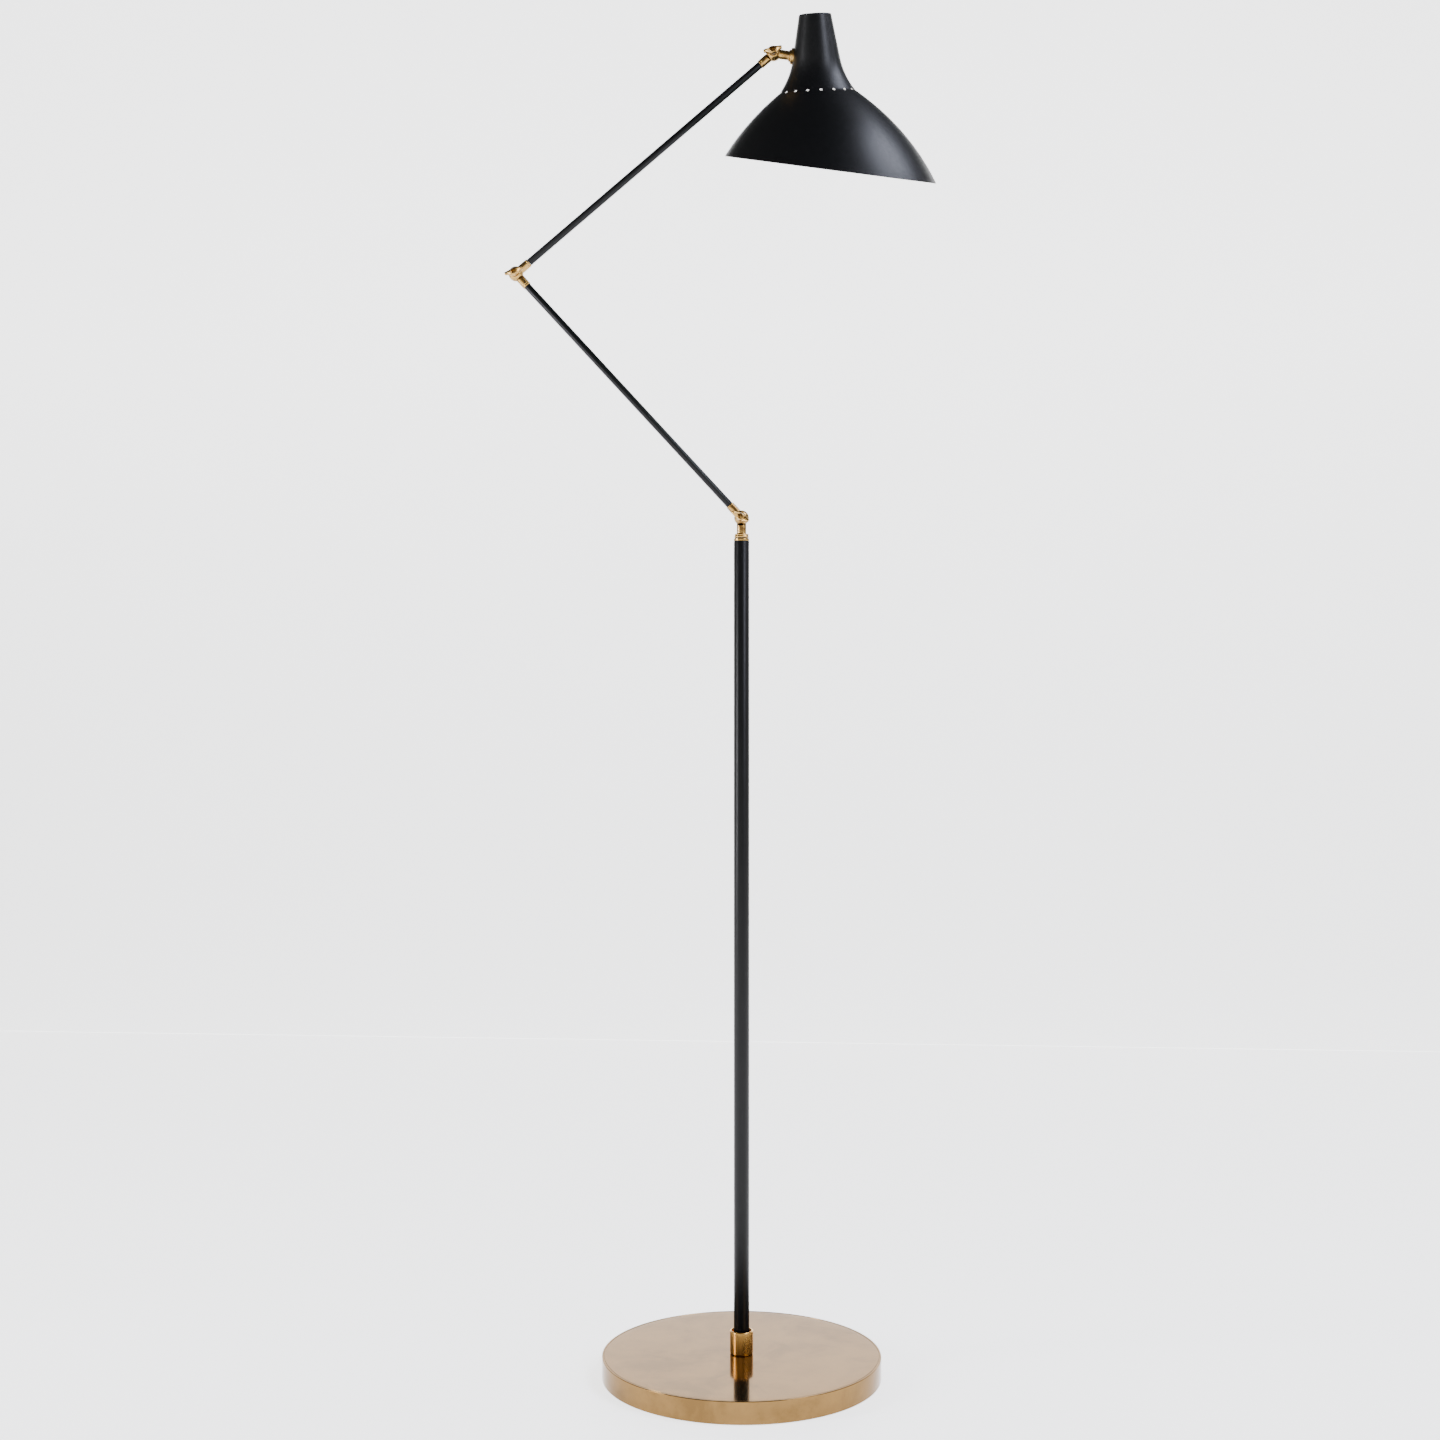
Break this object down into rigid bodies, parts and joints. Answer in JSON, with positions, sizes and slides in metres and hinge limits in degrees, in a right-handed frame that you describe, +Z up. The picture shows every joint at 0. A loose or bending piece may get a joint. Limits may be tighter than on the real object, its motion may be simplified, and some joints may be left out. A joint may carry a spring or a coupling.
{
  "type": "adjustable arm floor lamp",
  "caption": "Floor lamp with a weighted round base, slim pole, folding arms on ball knuckles clamped by wing nuts, and a rolling bell shade.",
  "frame": {"origin": "centre of the base's underside, on the floor", "axes": "+Z up along the pole; the arms fold in the XZ plane; -Y is the front, where the wing nuts are; +X is the side the shade reaches to"},
  "size_m": [0.4729, 0.3068, 1.4866],
  "materials": {
    "antique_brass": "hand-rubbed antique brass, satin",
    "satin_black_paint": "satin black",
    "plated_steel": "bright zinc plate",
    "cast_iron": "rough casting, painted",
    "felt": "black felt",
    "black_nylon": "matte",
    "phenolic": "moulded phenolic",
    "socket_brass": "bright rolled brass",
    "bulb_cap_metal": "bright",
    "bulb_white": "white",
    "bulb_frosted": "frosted white diffuser",
    "lead_insulation": "matte"
  },
  "bodies": {
    "root": {"base_cover": "antique_brass", "base_weight": "cast_iron", "base_plate": "plated_steel", "base_pad": "felt", "base_washer": "plated_steel", "base_lock_nut": "plated_steel", "base_nipple": "plated_steel", "cord_inlet_bushing": "black_nylon", "pole_collar": "antique_brass", "collar_set_screw": "plated_steel", "pole": "satin_black_paint", "pole_bottom_insert": "plated_steel", "pole_top_insert": "plated_steel", "pole_cap": "antique_brass", "swivel_glide_washer": "black_nylon", "pole_lead": "lead_insulation"},
    "swivel": {"swivel_knuckle": "antique_brass", "swivel_pipe": "plated_steel", "swivel_spring_washer": "plated_steel", "swivel_lock_nut": "plated_steel", "lower_hinge_bolt": "antique_brass", "lower_hinge_washer": "black_nylon"},
    "lower_wing_nut": {"lower_wing_nut": "antique_brass"},
    "lower_arm": {"lower_arm_root_knuckle": "antique_brass", "lower_arm_tube": "satin_black_paint", "lower_arm_lead": "lead_insulation", "lower_arm_elbow_knuckle": "antique_brass", "elbow_hinge_bolt": "antique_brass", "elbow_hinge_washer": "black_nylon"},
    "elbow_wing_nut": {"elbow_wing_nut": "antique_brass"},
    "upper_arm": {"upper_arm_elbow_knuckle": "antique_brass", "upper_arm_tube": "satin_black_paint", "upper_arm_lead": "lead_insulation", "upper_arm_head_knuckle": "antique_brass", "head_hinge_bolt": "antique_brass", "head_hinge_washer": "black_nylon"},
    "head_wing_nut": {"head_wing_nut": "antique_brass"},
    "head_stem": {"head_stem": "antique_brass", "head_pipe": "plated_steel", "head_spring_washer": "plated_steel", "head_lock_nut": "plated_steel"},
    "shade": {"shade_flange": "antique_brass", "shade_shell": "satin_black_paint", "lampholder_bracket": "plated_steel", "lampholder_body": "phenolic", "lampholder_screw_shell": "socket_brass", "lampholder_contact": "socket_brass", "bulb_cap": "bulb_cap_metal", "bulb_housing": "bulb_white", "bulb_globe": "bulb_frosted"}
  },
  "joints": [
    {"name": "pole_swivel", "type": "hinge", "parent": "root", "child": "swivel", "pos_m": [0, 0, 0.938], "axis": [0, 0, 1], "range_deg": [-170, 170]},
    {"name": "lower_tilt", "type": "hinge", "parent": "swivel", "child": "lower_arm", "pos_m": [0, 0, 0.938], "axis": [0, 1, 0], "range_deg": [-60, 130]},
    {"name": "elbow_tilt", "type": "hinge", "parent": "lower_arm", "child": "upper_arm", "pos_m": [-0.25011, 0, 1.20999], "axis": [0, 1, 0], "range_deg": [-180, 10]},
    {"name": "head_tilt", "type": "hinge", "parent": "upper_arm", "child": "head_stem", "pos_m": [0.03501, 0, 1.44502], "axis": [0, 1, 0], "range_deg": [-110, 15]},
    {"name": "shade_roll", "type": "hinge", "parent": "head_stem", "child": "shade", "pos_m": [0.03501, 0, 1.44502], "axis": [0.9854, 0, -0.1702], "range_deg": [-105, 75]},
    {"name": "lower_wing_nut_turn", "type": "hinge", "parent": "swivel", "child": "lower_wing_nut", "pos_m": [0, 0, 0.938], "axis": [0, -1, 0], "range_deg": [0, 360]},
    {"name": "elbow_wing_nut_turn", "type": "hinge", "parent": "lower_arm", "child": "elbow_wing_nut", "pos_m": [-0.25011, 0, 1.20999], "axis": [0, -1, 0], "range_deg": [0, 360]},
    {"name": "head_wing_nut_turn", "type": "hinge", "parent": "upper_arm", "child": "head_wing_nut", "pos_m": [0.03501, 0, 1.44502], "axis": [0, -1, 0], "range_deg": [0, 360]}
  ]
}
